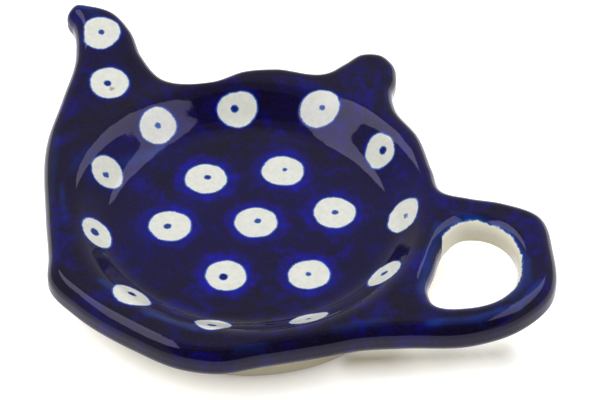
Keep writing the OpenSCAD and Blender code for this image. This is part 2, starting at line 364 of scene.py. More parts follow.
class PotSurface:
    """The rest's outline, finger hole and heights, worked out once for all the pieces."""

    def __init__(self, shape: PotShape) -> None:
        """Works out the outline, its insets and the hole."""
        self.shape = shape
        self.marks = shape.outline_marks()
        self.outline = smooth_curve(self.marks, shape.span_steps)
        self.hole = smooth_curve(shape.hole_marks(), shape.span_steps)
        self.insets = self._insets()

    def root_line(self, root: Root) -> np.ndarray:
        """Unit vector along the line on which a limb springs from the rim."""
        return unit(self.marks[root[1]] - self.marks[root[0]])

    def _insets(self) -> np.ndarray:
        """Directions in which the rolled edge draws in.

        Square to the outline, shorter round tight bends, and turned along the root line at a
        limb's two ends, so that the limb and the rim meet in one plane.

        Returns:
            One vector for each point of the outline, its length the share of the full inset.
        """
        s, curve, step = self.shape, self.outline, self.shape.span_steps
        a, c = np.roll(curve, step, axis=0), np.roll(curve, -step, axis=0)
        ab, bc, ac = curve - a, c - curve, c - a
        turn = ab[:, 0] * bc[:, 1] - ab[:, 1] * bc[:, 0]
        sides = [np.linalg.norm(x, axis=1) for x in (ab, bc, ac)]
        bend = np.where(
            turn > 0, sides[0] * sides[1] * sides[2] / np.maximum(2 * turn, NO_AREA), s.belly_r
        )
        room = np.minimum(1, s.roll_room_share * bend / s.top_roll_r)
        near = [np.roll(room, k) for k in range(-step, step + 1)]
        insets = -outward_normals(curve) * np.mean(near, axis=0)[:, None]
        plain = insets.copy()
        for root in (s.handle_root, s.knob_root, s.spout_root):
            line = self.root_line(root)
            for end in root:
                i = end * step
                slid = line / (line @ plain[i])
                k = np.arange(i - step + 1, i + step)
                pull = (1 - np.abs(k - i) / step)[:, None]
                insets[k] = between(plain[k], slid, pull)
        return insets

    def stretch(self, first: int, last: int) -> np.ndarray:
        """Places on the outline from one mark to another, past its end if need be."""
        step = self.shape.span_steps
        return np.arange(first * step, last * step + 1) % len(self.outline)

    def edge_gap(self, xy: np.ndarray) -> np.ndarray:
        """Distance in plan to the outline or the hole, whichever is nearer."""
        return np.minimum(distance_to(self.outline, xy), distance_to(self.hole, xy))

    def lift(self, xy: np.ndarray) -> np.ndarray:
        """Height that the spout gains beyond its root line, easing in from level."""
        s = self.shape
        line = self.root_line(s.spout_root)
        away = np.array([line[1], -line[0]])
        past = np.maximum((xy - self.marks[s.spout_root[0]]) @ away, 0)
        past_well = -xy[:, 0] - s.well_r * s.lift_from_share
        inside = np.clip(past_well / (s.well_r * s.lift_over_share), 0, 1)
        eased = np.sqrt(past**2 + s.spout_ease**2) - s.spout_ease
        return math.tan(s.spout_lift) * eased * inside

    def ripple(self, xy: np.ndarray) -> np.ndarray:
        """Slow hand-made waviness: a few crossed sines of 18 to 29 mm wavelength."""
        x, y = xy[:, 0] / MM, xy[:, 1] / MM
        return self.shape.ripple_height * sum(
            share * np.sin(by_x * x + by_y * y + start)
            for by_x, by_y, start, share in self.shape.ripple_waves
        )

    def blend(self, drops: list[np.ndarray]) -> np.ndarray:
        """Falls added as powers, then the root, so that ridges between them come out rounded."""
        power = self.shape.blend_power
        return sum(drop**power for drop in drops) ** (1 / power)

    def edge_drops(self, xy: np.ndarray, radius: float) -> list[np.ndarray]:
        """Falls of the rolled edges at the outline and at the hole."""
        return [roll_drop(distance_to(curve, xy), radius) for curve in (self.outline, self.hole)]

    def top(self, xy: np.ndarray) -> np.ndarray:
        """Height of the upper surface.

        The rim's level, less the blended falls of the well, the outer edge and the hole's lip,
        with the spout's lift and the ripple added.

        Args:
            xy: Points, shape (n, 2).

        Returns:
            Heights, shape (n,).
        """
        s = self.shape
        well = s.well_drop(np.linalg.norm(xy, axis=1))
        total = self.blend([well, *self.edge_drops(xy, s.top_roll_r)])
        return s.rim_z - total + self.lift(xy) + self.ripple(xy)

    def under(self, xy: np.ndarray) -> np.ndarray:
        """Height of the underside: level, rolled up at the edges, and hollow down to the foot."""
        s = self.shape
        total = self.blend(self.edge_drops(xy, s.bottom_roll_r))
        fillet = roll_drop(np.linalg.norm(xy, axis=1) - s.foot_r, s.foot_fillet_r)
        return s.under_z + total - fillet + self.lift(xy)

    def over(self, xy: np.ndarray, upper: bool) -> np.ndarray:
        """Points of the upper or lower surface over a grid of places, shape (..., 3)."""
        flat = xy.reshape(-1, 2)
        z = self.top(flat) if upper else self.under(flat)
        return np.concatenate([flat, z[:, None]], axis=1).reshape(xy.shape[:-1] + (3,))


@dataclass
class Patch:
    """A grid of points, shape (rows, columns, 3), and the side of it that shows.

    Its cover is the distance to the paint's border, positive under paint, for each point or row;
    a hidden patch lies in a joint.
    """

    points: np.ndarray
    facing: Facing
    centre: Pair = (0.0, 0.0)
    cover: np.ndarray | None = None
    hidden: bool = False

    def triangles(self) -> np.ndarray:
        """Corner numbers of two triangles for each cell, turned to the side that shows."""
        rows, columns = self.points.shape[:2]
        n = np.arange(rows * columns).reshape(rows, columns)
        a, b, c, d = n[:-1, :-1], n[1:, :-1], n[1:, 1:], n[:-1, 1:]
        tris = np.concatenate(
            [np.stack([a, b, c], axis=-1), np.stack([a, c, d], axis=-1)]
        ).reshape(-1, 3)
        p = self.points.reshape(-1, 3)[tris]
        normal = np.cross(p[:, 1] - p[:, 0], p[:, 2] - p[:, 0])
        if self.facing in (Facing.UP, Facing.DOWN):
            agrees = normal[:, 2].sum() * (1 if self.facing is Facing.UP else -1)
        else:
            away = p.mean(axis=1)[:, :2] - np.array(self.centre)
            agrees = (normal[:, :2] * away).sum() * (1 if self.facing is Facing.OUT else -1)
        return tris if agrees > 0 else tris[:, ::-1]


@dataclass
class Shell:
    """A closed piece made of patches that share their edges."""

    name: str
    patches: list[Patch]
    points: np.ndarray = field(init=False)
    cover: np.ndarray = field(init=False)
    tris: np.ndarray = field(init=False)
    hidden: np.ndarray = field(init=False)

    def weld(self) -> None:
        """Joins the patches' points that coincide and drops triangles without area."""
        points = np.concatenate([p.points.reshape(-1, 3) for p in self.patches])
        cover = np.concatenate([
            np.full(p.points[..., 0].size, BARE) if p.cover is None
            else np.broadcast_to(p.cover, p.points.shape[:2]).ravel()
            for p in self.patches
        ])
        counts = [p.points[..., 0].size for p in self.patches]
        starts = np.concatenate([[0], np.cumsum(counts)[:-1]])
        cells = [p.triangles() for p in self.patches]
        hidden = np.repeat([p.hidden for p in self.patches], [len(c) for c in cells])
        keys = np.round(points / WELD).astype(np.int64)
        _, first, back = np.unique(keys, axis=0, return_index=True, return_inverse=True)
        back = back.reshape(-1)
        self.points = points[first]
        self.cover = np.full(len(first), BARE)
        np.maximum.at(self.cover, back, cover)
        tris = back[np.concatenate([c + start for c, start in zip(cells, starts)])]
        whole = (tris != np.roll(tris, 1, axis=1)).all(axis=1)
        self.tris, self.hidden = tris[whole], hidden[whole]
        edges = np.sort(self.tris[:, [0, 1, 1, 2, 2, 0]].reshape(-1, 2), axis=1)
        _, uses = np.unique(edges, axis=0, return_counts=True)
        log.info("%s: %d triangles, %d open edges", self.name, len(self.tris), (uses != 2).sum())


def shared_normals(shells: list[Shell]) -> list[np.ndarray]:
    """Normals at the corners of every triangle, the same on both sides of a joint.

    Each visible triangle adds its area normal to its corners, corners of different shells at one
    place are added together, and hidden triangles keep their own flat normal.

    Args:
        shells: Welded shells.

    Returns:
        One array of shape (triangles, 3, 3) for each shell.
    """
    points = np.concatenate([s.points for s in shells])
    starts = np.concatenate([[0], np.cumsum([len(s.points) for s in shells])[:-1]])
    keys = np.round(points / SAME_PLACE).astype(np.int64)
    _, back = np.unique(keys, axis=0, return_inverse=True)
    back = back.reshape(-1)
    sums = np.zeros((back.max() + 1, 3))
    flats = []
    for shell, start in zip(shells, starts):
        p = shell.points[shell.tris]
        flat = np.cross(p[:, 1] - p[:, 0], p[:, 2] - p[:, 0])
        flats.append(flat)
        seen = ~shell.hidden
        for corner in range(3):
            np.add.at(sums, back[start + shell.tris[seen, corner]], flat[seen])
    found = []
    for shell, start, flat in zip(shells, starts, flats):
        normals = unit(sums[back[start + shell.tris]])
        normals[shell.hidden] = unit(flat[shell.hidden])[:, None]
        found.append(normals)
    return found


@dataclass(frozen=True)
class Dab:
    """One white dab and its blue eye.

    Its place and radius and the eye's offset and radius are in mm, its stretch is a share of the
    radius along a direction in degrees, and the tone runs from a dark eye at 0 to a pale one at 1.
    """

    x: float
    y: float
    radius: float
    eye_x: float
    eye_y: float
    eye_radius: float
    stretch: float
    along: float
    tone: float


@dataclass(frozen=True)
class Stroke:
    """A wide brush stroke: its two ends and half width in mm, and its strength from 0 to 1."""

    x0: float
    y0: float
    x1: float
    y1: float
    width: float
    strength: float

    def at(self, xy: np.ndarray) -> np.ndarray:
        """Strength at points, which fades smoothly across the width from a straight line.

        Args:
            xy: Points, shape (n, 2).

        Returns:
            Strengths, shape (n,).
        """
        start = np.array([self.x0, self.y0]) * MM
        line = np.array([self.x1 - self.x0, self.y1 - self.y0]) * MM
        inside = np.clip(1 - line_gap(xy, start, line) / (self.width * MM), 0, 1)
        return self.strength * inside * inside * (3 - 2 * inside)


@dataclass(frozen=True)
class DabPattern:
    """The white dabs: seven on the floor, eleven round the wall and two up the spout.

    Rows are those of Dab, and of Stroke for pools and washes. The pools are brighter cobalt, and
    the strongest lie where the lamps' reflections fall on the wall, so they paint part of those
    reflections into the colour. Each wobble is a number of waves round a dab's border and its
    height as a share of the radius. One dab is cut straight along a line square to its flat way,
    and the speck is a place and a radius in mm.
    """

    floor: tuple = (
        (0.9, 0.8, 4.34, 0.09, 0.54, 0.62, 0.03, 4, 0.75),
        (-14.9, 6.1, 4.29, 0.02, 0.60, 0.64, 0.00, 89, 0.25),
        (-2.8, 16.6, 4.32, 0.08, 0.58, 0.44, 0.03, 99, 0.60),
        (12.8, 12.0, 4.38, 0.05, 0.14, 0.62, 0.03, 130, 0.80),
        (18.2, -6.0, 4.18, -0.22, 0.06, 0.50, 0.08, 59, 0.75),
        (4.2, -15.4, 4.19, -0.25, -0.58, 0.85, 0.02, 163, 0.00),
        (-13.3, -9.6, 4.32, -0.38, -0.34, 0.72, 0.01, 176, 0.40),
    )
    wall: tuple = (
        (-30.5, 11.6, 3.96, 0.00, 0.08, 0.62, 0.05, 84, 0.80),
        (-19.6, 25.2, 3.97, -0.59, -0.23, 0.78, 0.07, 41, 0.15),
        (-4.6, 33.5, 4.11, 0.40, 0.26, 0.53, 0.04, 66, 0.85),
        (12.3, 30.2, 3.57, 0.56, 0.23, 0.83, 0.07, 125, 0.00),
        (26.2, 17.3, 3.89, 0.52, -0.08, 0.60, 0.12, 107, 1.00),
        (32.2, 0.4, 3.74, -0.24, 0.27, 0.79, 0.12, 88, 0.70),
        (26.2, -18.6, 3.65, 0.00, -0.20, 0.54, 0.12, 54, 0.30),
        (11.2, -30.8, 3.95, 0.28, -0.72, 0.93, 0.07, 117, 0.50),
        (-6.4, -33.5, 4.25, -0.50, 0.65, 0.90, 0.08, 127, 0.00),
        (-23.6, -21.1, 3.72, -0.34, -0.12, 1.01, 0.09, 136, 0.25),
        (-31.7, -5.3, 3.72, 0.14, -0.61, 0.74, 0.02, 6, 0.90),
    )
    spout: tuple = (
        (-53.7, 25.0, 4.16, -0.03, 0.17, 0.59, 0.03, 100, 0.60),
        (-44.4, 14.4, 4.17, -0.27, -0.31, 0.74, 0.04, 125, 0.15),
    )
    flat_dab: int = 18
    flat_way: float = math.radians(214)
    flat_gap: float = 3.46 * MM
    speck: tuple = (-43.1, 13.35, 0.50)
    wobbles: tuple = ((2, 0.028), (3, 0.022), (4, 0.012), (5, 0.014), (7, 0.008))
    wobble_spread: float = 0.8
    eye_waves: int = 3
    eye_wobble: float = 0.05
    eye_phase_range: float = 6.0
    reach: float = 12 * MM
    faint_halo: float = 1.9 * MM
    # Pools of brighter cobalt; the two strongest lie under the lamps' reflections on the wall and
    # paint part of them.
    pools_and_sheen: tuple = (
        (-33.0, -6.0, -27.0, 14.0, 9.0, 1.00), (-12.0, 31.0, 12.0, 28.0, 6.0, 0.35),
        (14.0, 31.0, 28.0, 20.0, 9.0, 1.00), (-14.0, -14.0, 14.0, 14.0, 24.0, 0.55),
        (30.0, 5.0, 24.0, -20.0, 8.0, 0.50), (-26.0, -20.0, -6.0, -34.0, 6.0, 0.35),
        (-48.0, 18.0, -60.0, 27.0, 6.0, 0.35),
    )
    washes: tuple = (
        (35.3, 15.8, 38.6, 6.8, 1.7, 0.90), (38.6, 6.8, 42.3, -2.0, 1.7, 0.90),
        (48.9, -8.8, 56.3, -2.6, 1.5, 0.80), (56.3, -2.6, 61.1, 5.0, 1.4, 0.80),
        (61.1, 5.0, 61.5, 13.2, 1.4, 0.60), (55.8, 17.1, 59.2, 11.8, 1.2, 0.50),
        (59.2, 11.8, 59.1, 5.8, 1.2, 0.40), (35.9, 20.3, 40.9, 22.2, 1.2, 0.35),
        (-0.7, -37.3, 4.9, -36.4, 1.2, 0.90), (4.9, -36.4, 10.3, -35.8, 1.1, 0.80),
        (-13.2, -34.5, -10.9, -35.0, 1.3, 0.80), (20.3, -35.7, 24.1, -32.1, 1.6, 0.35),
        (33.7, -20.5, 40.6, -13.6, 1.6, 0.45), (-44.4, -5.4, -39.3, -13.6, 1.2, 0.40),
        (-35.4, -16.6, -29.5, -23.3, 1.1, 0.35), (-42.5, -8.6, -34.7, -20.8, 0.9, 0.30),
        (-62.3, 29.8, -52.8, 27.3, 2.0, 0.45), (-31.1, -0.1, -27.6, 7.9, 2.0, 0.55),
        (-36.4, -11.2, -37.4, -4.7, 1.3, 0.20),
    )

    def fields(self, points: np.ndarray, surface: PotSurface) -> dict[str, np.ndarray]:
        """The pattern's numbers at points of the upper surface.

        A border's radius is the dab's own, times one plus a few small cosines of the direction.

        Args:
            points: Points on the upper surface, shape (n, 3).
            surface: The surface that the dabs lie on.

        Returns:
            Arrays of shape (n,) by name: signed distances in metres, negative inside, to the
            nearest dab's border, its eye's border and its halo's seed, the tone of the nearest
            eye, the strengths of the blue washes and of the pools, which in part paint the lamps'
            reflections on the wall, and the distance to the brown speck.
        """
        rng = np.random.default_rng(SEED)
        dab, eye, halo = (np.full(len(points), self.reach) for _ in range(3))
        tone = np.zeros(len(points))
        for number, row in enumerate(self.floor + self.wall + self.spout):
            d = Dab(*row)
            place = np.array([[d.x, d.y]]) * MM
            gap = points - surface.over(place, True)[0]
            turn = np.arctan2(gap[:, 1], gap[:, 0])
            border = d.radius * MM * (1 + d.stretch * np.cos(2 * (turn - math.radians(d.along))))
            eye_wave = np.cos(self.eye_waves * turn + rng.uniform(0, self.eye_phase_range))
            eye_border = d.eye_radius * MM * (1 + self.eye_wobble * eye_wave)
            for waves, size in self.wobbles:
                phase = rng.uniform(0, 2 * math.pi)
                size = size * rng.normal() * self.wobble_spread
                border = border * (1 + size * np.cos(waves * turn + phase))
            past = np.linalg.norm(gap, axis=1) - border
            if number == self.flat_dab:
                way = np.array([math.cos(self.flat_way), math.sin(self.flat_way)])
                past = np.maximum(past, gap[:, :2] @ way - self.flat_gap)
            dab = np.minimum(dab, past)
            halo = np.minimum(halo, past + (0 if number < len(self.floor) else self.faint_halo))
            eye_centre = surface.over(place + np.array([[d.eye_x, d.eye_y]]) * MM, True)[0]
            eye_past = np.linalg.norm(points - eye_centre, axis=1) - eye_border
            tone = np.where(eye_past < eye, d.tone, tone)
            eye = np.minimum(eye, eye_past)
        speck = surface.over(np.array([self.speck[:2]]) * MM, True)[0]
        speck_gap = np.linalg.norm(points - speck, axis=1) - self.speck[2] * MM
        found = {"dab": dab, "eye": eye, "halo": halo, "tone": tone}
        for name, rows in (("wash", self.washes), ("pool_and_sheen", self.pools_and_sheen)):
            found[name] = np.max([Stroke(*row).at(points[:, :2]) for row in rows], axis=0)
        return found | {"speck": np.minimum(speck_gap, self.reach)}


@dataclass(frozen=True)
class Mottle:
    """A noise: its features' size, its finer octaves, the levels it is eased between, its twist.

    The size is in the units of the coordinates, which are metres for the object's own.
    """

    size: float
    detail: float = 2.0
    rough: float = 0.5
    low: float = 0.0
    high: float = 1.0
    twist: float = 0.0


class Nodes:
    """A node tree, with short calls for the few kinds of node used here."""

    def __init__(self, tree: bpy.types.NodeTree) -> None:
        """Takes over a tree and empties it."""
        self.tree = tree
        self.tree.nodes.clear()

    def new(self, kind: str, **values: object) -> bpy.types.Node:
        """A new node with some of its values set."""
        node = self.tree.nodes.new(kind)
        for name, value in values.items():
            setattr(node, name, value)
        return node

    def link(self, source: Socket, target: Socket) -> None:
        """Joins two sockets."""
        self.tree.links.new(source, target)

    def place(self, value: Value, socket: Socket) -> None:
        """Links a socket to the target, or writes a plain value into it."""
        if isinstance(value, Socket):
            self.link(value, socket)
        elif isinstance(value, tuple) and socket.type == "RGBA":
            socket.default_value = (*value, 1)
        else:
            socket.default_value = value

    def place_all(self, node: bpy.types.Node, values: dict) -> None:
        """Places a value for each of the node's inputs that is named."""
        for name, value in values.items():
            self.place(value, node.inputs[name])

    def maths(self, operation: str, *values: Value) -> Socket:
        """One arithmetic step, by Blender's name of it, on sockets or numbers."""
        node = self.new("ShaderNodeMath", operation=operation)
        for value, socket in zip(values, node.inputs):
            self.place(value, socket)
        return node.outputs[0]

    def plus(self, first: Value, second: Value) -> Socket:
        """Sum of two numbers."""
        return self.maths("ADD", first, second)

    def times(self, first: Value, second: Value) -> Socket:
        """Product of two numbers."""
        return self.maths("MULTIPLY", first, second)

    def most(self, first: Value, second: Value) -> Socket:
        """The larger of two numbers."""
        return self.maths("MAXIMUM", first, second)

    def span(self, value: Value, least: float, gain: float) -> Socket:
        """The least value at 0, and the gain more at 1."""
        return self.plus(self.times(value, gain), least)

    def ease(self, value: Value, low: float, high: float, ends: Pair = (0.0, 1.0)) -> Socket:
        """Smooth step from the first end at low to the second at high; low may be the larger."""
        node = self.new("ShaderNodeMapRange", interpolation_type="SMOOTHSTEP")
        (from_min, to_min), (from_max, to_max) = sorted(zip((low, high), ends))
        self.place_all(node, {
            "Value": value, "From Min": from_min, "From Max": from_max,
            "To Min": to_min, "To Max": to_max,
        })
        return node.outputs["Result"]


class Graph(Nodes):
    """A material's nodes."""

    def __init__(self, name: str) -> None:
        """Makes a material of that name with only its shader and output."""
        self.material = bpy.data.materials.new(name)
        self.material.use_nodes = True
        super().__init__(self.material.node_tree)
        self.shader = self.new("ShaderNodeBsdfPrincipled")
        output = self.new("ShaderNodeOutputMaterial")
        self.link(self.shader.outputs["BSDF"], output.inputs["Surface"])

    def position(self) -> Socket:
        """Object coordinates, in metres."""
        return self.new("ShaderNodeTexCoord").outputs["Object"]

    def axes(self) -> tuple:
        """The three object coordinates, one by one."""
        split = self.new("ShaderNodeSeparateXYZ")
        self.link(self.position(), split.inputs[0])
        return tuple(split.outputs)

    def join(self, *values: Value) -> Socket:
        """Coordinates made of three numbers."""
        node = self.new("ShaderNodeCombineXYZ")
        for value, socket in zip(values, node.inputs):
            self.place(value, socket)
        return node.outputs[0]

    def attribute(self, name: str) -> Socket:
        """A number kept at the mesh's points."""
        return self.new("ShaderNodeAttribute", attribute_name=name).outputs["Fac"]

    def noise(self, look: Mottle, vector: Socket | None = None) -> Socket:
        """Noise from 0 to 1, over the object's coordinates or the given ones."""
        node = self.new("ShaderNodeTexNoise")
        self.place_all(node, {
            "Scale": 1 / look.size, "Detail": look.detail, "Roughness": look.rough,
            "Distortion": look.twist, "Vector": self.position() if vector is None else vector,
        })
        return node.outputs["Fac"]

    def patches(self, look: Mottle, vector: Socket | None = None) -> Socket:
        """Noise eased into patches: 0 below its low level and 1 above its high one."""
        return self.ease(self.noise(look, vector), look.low, look.high)

    def wander(self, look: Mottle, width: float) -> Socket:
        """Noise that strays to both sides of zero, over the given width in all."""
        return self.times(self.maths("SUBTRACT", self.noise(look), 0.5), width)

    def mix(self, share: Value, first: Value, second: Value) -> Socket:
        """Colour between two colours."""
        node = self.new("ShaderNodeMix", data_type="RGBA")
        colours = [s for s in node.inputs if s.type == "RGBA"]
        for value, socket in zip((share, first, second), (node.inputs["Factor"], *colours)):
            self.place(value, socket)
        return next(s for s in node.outputs if s.type == "RGBA")

    def along_edges(self, along: float, across: float) -> Socket:
        """Coordinates for brush marks that follow the pot's edges.

        Args:
            along: Length of a mark, in metres.
            across: Width of a mark, in metres.

        Returns:
            The coordinates' socket.
        """
        x, y, _ = self.axes()
        values = ((x, along), (y, along), (self.attribute("edge"), across))
        return self.join(*(self.maths("DIVIDE", value, size) for value, size in values))

    def round_well(self, across: float) -> Socket:
        """Coordinates that run slowly round the well and fast outwards, for brushed streaks."""
        x, y, _ = self.axes()
        square = self.plus(self.plus(self.times(x, x), self.times(y, y)), MM**2)
        radius = self.maths("SQRT", square)
        values = ((x, radius), (y, radius), (radius, across))
        return self.join(*(self.maths("DIVIDE", value, size) for value, size in values))

    def bump(self, height: Value, depth: float) -> None:
        """Lets a height, times a depth in metres, tilt the shading."""
        node = self.new("ShaderNodeBump")
        self.place_all(node, {"Strength": 1.0, "Distance": depth, "Height": height})
        self.link(node.outputs["Normal"], self.shader.inputs["Normal"])


@dataclass(frozen=True)
class PaintedGlaze:
    """Hand-painted cobalt under a thick clear glaze, with white dabs and a cream body.

    A share says how far one colour goes towards another. A fade is the two distances, in metres,
    between which one colour turns into the next. A range is the least value and the gain.
    """

    deep: Colour = (0.0045, 0.0028, 0.0125)
    navy: Colour = (0.0045, 0.0028, 0.052)
    bright: Colour = (0.0040, 0.0035, 0.46)
    haze: Colour = (0.018, 0.014, 0.042)
    thin_blue: Colour = (0.007, 0.038, 0.25)
    white: Colour = (0.725, 0.735, 0.67)
    white_shade: Colour = (0.655, 0.665, 0.60)
    fringe: Colour = (0.030, 0.125, 0.46)
    eye_edge: Colour = (0.035, 0.12, 0.42)
    eye: Colour = (0.003, 0.006, 0.12)
    eye_pale: Colour = (0.022, 0.085, 0.31)
    cream: Colour = (0.86, 0.83, 0.68)
    cream_shade: Colour = (0.83, 0.80, 0.64)
    cream_low: Colour = (0.81, 0.735, 0.46)
    speck: Colour = (0.16, 0.13, 0.06)
    gloss: float = 0.31
    gloss_tint: Colour = (0.72, 0.66, 1.0)
    roughness: Pair = (0.03, 0.05)
    strokes: Mottle = Mottle(1.0, 3, 0.55, 0.42, 0.72, 0.3)
    stroke_size: Pair = (8 * MM, 1.6 * MM)
    rounds: Mottle = Mottle(1.0, 3, 0.55, 0.42, 0.72, 0.4)
    round_width: float = 4 * MM
    round_share: float = 0.8
    mottle: Mottle = Mottle(3 * MM, 5, 0.70, 0.42, 0.66, 0.5)
    clouds: Mottle = Mottle(10 * MM, 3, 0.55, 0.40, 0.64, 0.5)
    cloud_range: Pair = (0.2, 0.8)
    stroke_share: float = 0.19
    # Shares of the pools' bright blue, which in part is a painted reflection of the lamps on the
    # wall.
    pool_and_sheen_share: float = 0.29
    pool_and_sheen_ground: float = 0.10
    halo_drift: Mottle = Mottle(5 * MM, 5, 0.7, twist=0.5)
    halo_drift_width: float = 5.5 * MM
    halo_fade: Pair = (3.6 * MM, 0.7 * MM)
    halo_range: Pair = (0.50, 0.80)
    halo_share: float = 0.52
    grain: Mottle = Mottle(0.5 * MM, 3, 0.7, 0.42, 0.68)
    grain_share: float = 0.30
    wash_range: Pair = (0.40, 0.55)
    thin_fade: Pair = (1.9 * MM, 0.2 * MM)
    thin_share: float = 0.55
    fringe_fade: Pair = (0.42 * MM, 0.02 * MM)
    dab_mottle: Mottle = Mottle(1.2 * MM, 4, 0.70, 0.34, 0.68)
    dab_ragged: Mottle = Mottle(1 * MM, 3, 0.65)
    dab_ragged_width: float = 0.5 * MM
    dab_fade: Pair = (0.10 * MM, -0.16 * MM)
    speck_fade: Pair = (0.35 * MM, -0.25 * MM)
    speck_share: float = 0.85
    eye_ragged_share: float = 0.5
    eye_edge_fade: Pair = (0.28 * MM, 0.0)
    eye_fade: Pair = (0.04 * MM, -0.20 * MM)
    cover_ragged: Mottle = Mottle(3.2 * MM, 4, 0.65, twist=0.6)
    cover_ragged_width: float = 2.2 * MM
    cover_fringe_fade: Pair = (0.5 * MM, 0.1 * MM)
    cover_fade: Pair = (0.14 * MM, -0.10 * MM)
    body: Mottle = Mottle(9 * MM, 4, 0.6, 0.35, 0.75)
    low_drift: Mottle = Mottle(4 * MM)
    low_drift_height: float = 1.2 * MM
    low_fade: Pair = (13.2 * MM, 10.4 * MM)
    wear: Mottle = Mottle(2.5 * MM, 4, 0.6)
    waves: Mottle = Mottle(9 * MM, 2, 0.4)
    peel: Mottle = Mottle(1.3 * MM)
    peel_share: float = 0.035
    relief_fade: Pair = (0.5 * MM, -0.5 * MM)
    relief_share: float = 0.12
    bump_depth: float = 0.16 * MM

    def cobalt(self, g: Graph, dab: Socket, cover: Socket) -> Socket:
        """Colour of the paint, from near black to bright blue where it lies thin.

        Args:
            g: The material's graph.
            dab: Distance to the nearest dab.
            cover: Distance to the paint's own border.

        Returns:
            The colour's socket.
        """
        strokes = g.patches(self.strokes, g.along_edges(*self.stroke_size))
        rounds = g.patches(self.rounds, g.round_well(self.round_width))
        mottle, clouds = g.patches(self.mottle), g.patches(self.clouds)
        brushed = g.most(strokes, g.times(rounds, self.round_share))
        blue = g.mix(g.times(brushed, g.span(clouds, *self.cloud_range)), self.deep, self.navy)
        drift = g.wander(self.halo_drift, self.halo_drift_width)
        halo = g.ease(g.plus(g.attribute("halo"), drift), *self.halo_fade)
        halo = g.times(halo, g.span(mottle, *self.halo_range))
        # Pools of brighter blue, in part painted reflection where the lamps mirror in the wall.
        pools_and_sheen = g.times(mottle, g.most(clouds, g.attribute("pool_and_sheen")))
        glow = g.times(g.times(strokes, clouds), self.stroke_share)
        glow = g.most(glow, g.times(pools_and_sheen, self.pool_and_sheen_share))
        glow = g.most(glow, g.times(g.attribute("pool_and_sheen"), self.pool_and_sheen_ground))
        glow = g.most(glow, g.times(halo, self.halo_share))
        blue = g.mix(glow, blue, self.bright)
        blue = g.mix(g.times(g.patches(self.grain), self.grain_share), blue, self.haze)
        wash = g.times(g.attribute("wash"), g.span(brushed, *self.wash_range))
        blue = g.mix(wash, blue, self.thin_blue)
        thin = g.times(g.ease(cover, *self.thin_fade), self.thin_share)
        blue = g.mix(thin, blue, self.thin_blue)
        return g.mix(g.ease(dab, *self.fringe_fade), blue, self.fringe)

    def dabs(self, g: Graph, eye: Socket) -> Socket:
        """Colour inside the dabs: mottled white, the eye with its soft edge, and one speck."""
        white = g.mix(g.patches(self.dab_mottle), self.white, self.white_shade)
        speck = g.ease(g.attribute("speck"), *self.speck_fade)
        white = g.mix(g.times(speck, self.speck_share), white, self.speck)
        inner = g.mix(g.ease(eye, *self.eye_edge_fade), white, self.eye_edge)
        centre = g.mix(g.attribute("tone"), self.eye, self.eye_pale)
        return g.mix(g.ease(eye, *self.eye_fade), inner, centre)

    def material(self) -> bpy.types.Material:
        """Builds the finish.

        Edges of paint, dabs and eyes are distances kept at the mesh's points, made ragged by fine
        noise. The bare body turns warmer towards the hole's lower edge.

        Returns:
            The material.
        """
        g = Graph("painted_glaze")
        ragged = g.wander(self.dab_ragged, self.dab_ragged_width)
        dab = g.plus(g.attribute("dab"), ragged)
        eye = g.plus(g.attribute("eye"), g.times(ragged, self.eye_ragged_share))
        brushed = g.wander(self.cover_ragged, self.cover_ragged_width)
        cover = g.plus(g.attribute("cover"), brushed)
        paint = self.cobalt(g, dab, cover)
        painted = g.mix(g.ease(dab, *self.dab_fade), paint, self.dabs(g, eye))
        edge = g.mix(g.ease(cover, *self.cover_fringe_fade), painted, self.fringe)
        body = g.mix(g.patches(self.body), self.cream, self.cream_shade)
        low = g.plus(g.axes()[2], g.times(g.noise(self.low_drift), self.low_drift_height))
        body = g.mix(g.ease(low, *self.low_fade), body, self.cream_low)
        relief = g.times(g.ease(dab, *self.relief_fade), self.relief_share)
        peel = g.times(g.noise(self.peel), self.peel_share)
        g.place_all(g.shader, {
            "Base Color": g.mix(g.ease(cover, *self.cover_fade), edge, body),
            "Roughness": g.span(g.noise(self.wear), *self.roughness),
            "Specular IOR Level": self.gloss,
            "Specular Tint": self.gloss_tint,
        })
        g.bump(g.plus(g.plus(g.noise(self.waves), peel), relief), self.bump_depth)
        return g.material


